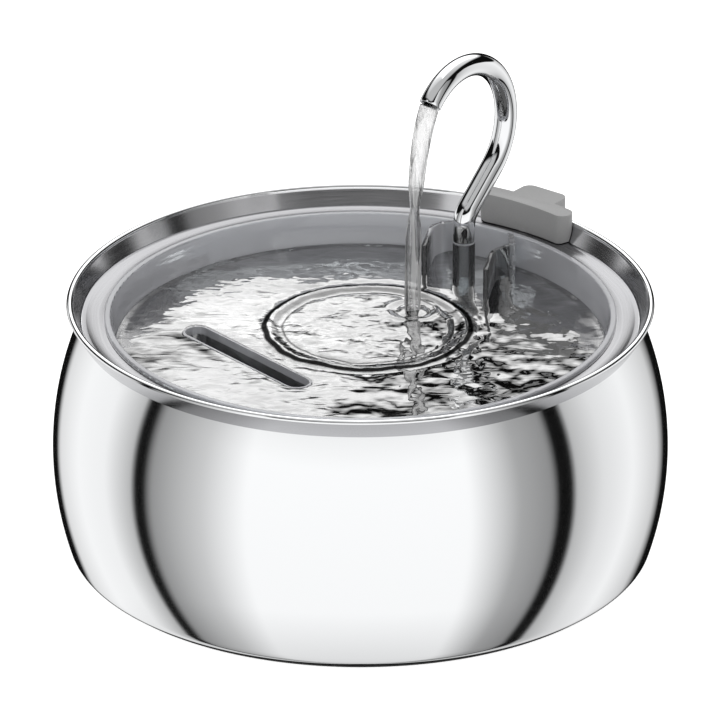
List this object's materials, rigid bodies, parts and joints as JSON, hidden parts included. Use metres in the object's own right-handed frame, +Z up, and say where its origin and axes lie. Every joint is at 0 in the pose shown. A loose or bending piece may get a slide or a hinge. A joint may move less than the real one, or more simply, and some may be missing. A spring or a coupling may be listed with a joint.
{
  "type": "pet water fountain",
  "caption": "Steel pet drinking fountain: barrel bowl, clear lift-out tray with overflow slot, gooseneck spout, filter cassette and submersible pump.",
  "frame": {"origin": "on the bowl's axis, at the surface that the foot ring stands on", "axes": "+Z up along the bowl's axis; the spout stands behind and to the right of it, at +X +Y; -Y is the front"},
  "size_m": [0.217, 0.217, 0.1656],
  "materials": {
    "bowl_steel": "deep-drawn stainless steel, polished with a fine circumferential grain",
    "gutter_steel": "pressed stainless steel, satin",
    "spout_steel": "mirror-polished stainless steel tube",
    "clear_plastic": "clear moulded plastic, glossy",
    "clip_silicone": "matt grey silicone",
    "clear_silicone": "translucent silicone",
    "black_rubber": "matt black rubber",
    "pump_plastic": "black ABS, lightly textured",
    "impeller_plastic": "white moulded plastic",
    "bobbin_plastic": "natural nylon",
    "filter_plastic": "dark moulded plastic",
    "filter_fleece": "white polyester fleece",
    "carbon_granules": "black activated carbon granules",
    "resin_beads": "amber ion exchange resin beads",
    "foam": "open-cell black foam",
    "magnet_ferrite": "sintered ferrite",
    "shaft_ceramic": "polished ceramic",
    "core_iron": "stacked electrical steel",
    "copper": "enamelled copper wire",
    "board_green": "glass-fibre circuit board",
    "potting_resin": "black epoxy"
  },
  "bodies": {
    "bowl": {"bowl": "bowl_steel", "foot_ring": "black_rubber", "gutter_ring": "gutter_steel", "pump_housing": "pump_plastic", "volute_plate": "pump_plastic", "front_bush": "black_rubber", "rear_bush": "black_rubber", "impeller_shaft": "shaft_ceramic", "stator_core": "core_iron", "coil_bobbin": "bobbin_plastic", "stator_coil": "copper", "driver_board": "board_green", "potting": "potting_resin", "lead_gland": "black_rubber", "suction_cups": "clear_silicone", "outlet_hose": "clear_silicone"},
    "tray": {"drinking_tray": "clear_plastic", "riser_tube": "clear_plastic"},
    "cassette": {"filter_basket": "filter_plastic", "filter_lid": "filter_plastic", "filter_pad": "filter_fleece", "carbon_bed": "carbon_granules", "resin_bed": "resin_beads"},
    "sleeve": {"spout_sleeve": "clear_silicone"},
    "spout": {"spout_tube": "spout_steel"},
    "clip": {"lead_clip": "clip_silicone"},
    "cover": {"pump_cover": "pump_plastic", "pump_sponge": "foam"},
    "knob": {"flow_knob": "pump_plastic"},
    "rotor": {"impeller_wheel": "impeller_plastic", "rotor_magnet": "magnet_ferrite"}
  },
  "joints": [
    {"name": "tray_lift", "type": "slide", "parent": "bowl", "child": "tray", "axis": [0, 0, 1], "range_m": [0, 0.06]},
    {"name": "cassette_release", "type": "slide", "parent": "tray", "child": "cassette", "axis": [0, 0, -1], "range_m": [0, 0.025]},
    {"name": "spout_pull", "type": "slide", "parent": "tray", "child": "sleeve", "axis": [0, 0, 1], "range_m": [0, 0.03]},
    {"name": "spout_swivel", "type": "hinge", "parent": "sleeve", "child": "spout", "pos_m": [0.03681, 0.05132, 0.0945], "axis": [0, 0, 1], "range_deg": [-100, 100]},
    {"name": "clip_lift", "type": "slide", "parent": "bowl", "child": "clip", "axis": [0, 0, 1], "range_m": [0, 0.02]},
    {"name": "cover_release", "type": "slide", "parent": "bowl", "child": "cover", "axis": [-0.5828, -0.8126, 0], "range_m": [0, 0.012]},
    {"name": "knob_turn", "type": "hinge", "parent": "cover", "child": "knob", "pos_m": [0.03497, 0.04876, 0.027], "axis": [0.5828, 0.8126, 0], "range_deg": [0, 60]},
    {"name": "rotor_spin", "type": "hinge", "parent": "bowl", "child": "rotor", "pos_m": [0.03497, 0.04876, 0.027], "axis": [0.5828, 0.8126, 0], "continuous": true}
  ]
}
